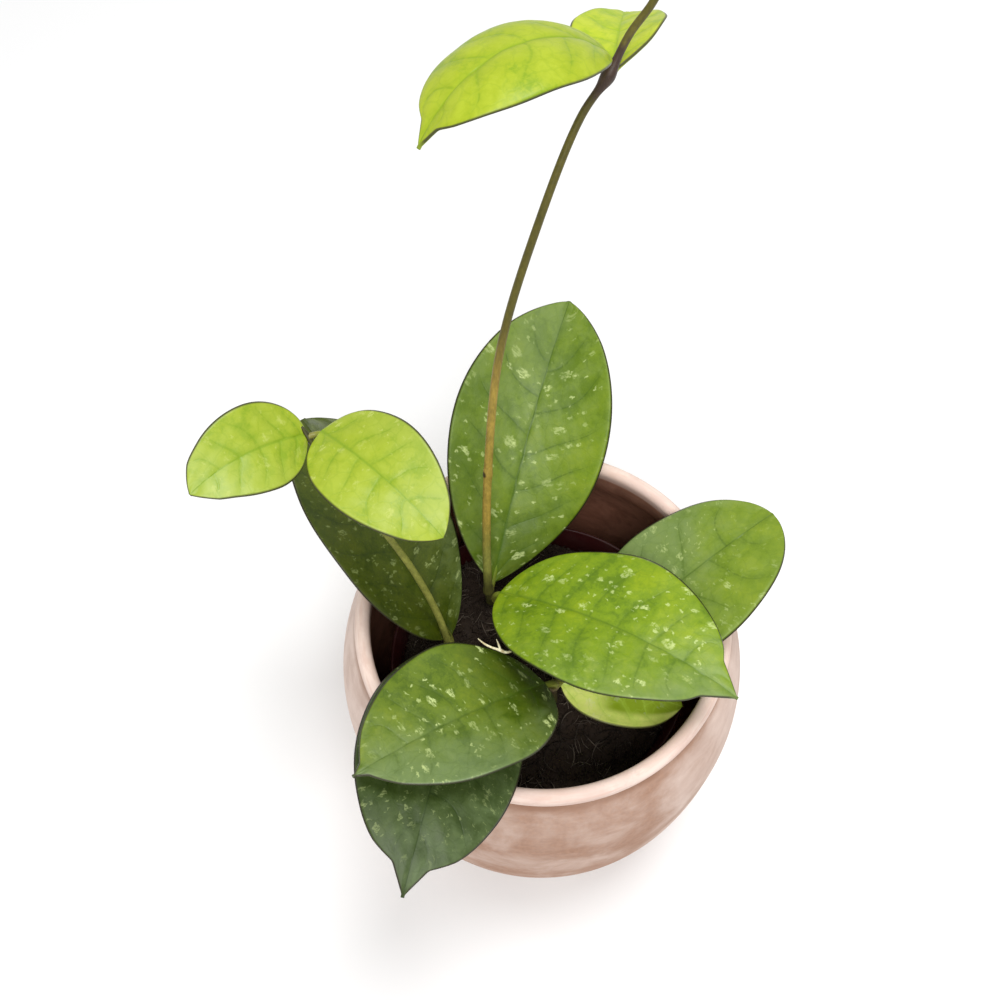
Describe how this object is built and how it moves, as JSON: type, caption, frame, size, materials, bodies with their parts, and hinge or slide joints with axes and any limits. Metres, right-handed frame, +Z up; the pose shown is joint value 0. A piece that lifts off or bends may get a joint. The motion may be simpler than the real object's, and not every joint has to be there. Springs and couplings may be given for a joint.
{
  "type": "potted hoya plant",
  "caption": "Young trailing hoya with waxy, silver-splashed leaves on short stems and a tall climbing vine, in a nursery pot of soil that stands in a rounded whitewashed terracotta pot.",
  "frame": {"origin": "centre of the pot's flat foot, on the surface that the pot stands on", "axes": "+Z up through the pot's mouth; -Y is the side nearest the viewer in the picture; +X to the viewer's right"},
  "size_m": [0.1506, 0.1851, 0.2521],
  "materials": {
    "terracotta": "unglazed pinkish terracotta under a thin, mottled whitewash, matte",
    "nursery_plastic": "thin reddish-black moulded plastic with a soft gloss",
    "soil": "dark peaty potting mix with fibres and grit, matte",
    "stem": "smooth olive to tan young stem, satin",
    "leaf_green": "thick waxy green leaf with silvery flecks, satin gloss",
    "leaf_dark": "thick waxy dark green leaf with silvery flecks, satin gloss",
    "leaf_lime": "young lime-green leaf, satin"
  },
  "bodies": {
    "root": {"pot": "terracotta", "nursery_pot": "nursery_plastic", "soil": "soil", "vine_stem": "stem", "shoot_stem": "stem", "front_cutting_stem": "stem", "middle_cutting_stem": "stem", "leaf_back_large": "leaf_green", "leaf_left_dark": "leaf_dark", "leaf_shoot_left": "leaf_lime", "leaf_shoot_right": "leaf_lime", "leaf_vine_left": "leaf_lime", "leaf_vine_back": "leaf_lime", "leaf_middle_bright": "leaf_green", "leaf_right": "leaf_green", "leaf_front_upper": "leaf_green", "leaf_front_lower": "leaf_dark", "leaf_young_curled": "leaf_lime"}
  },
  "joints": []
}
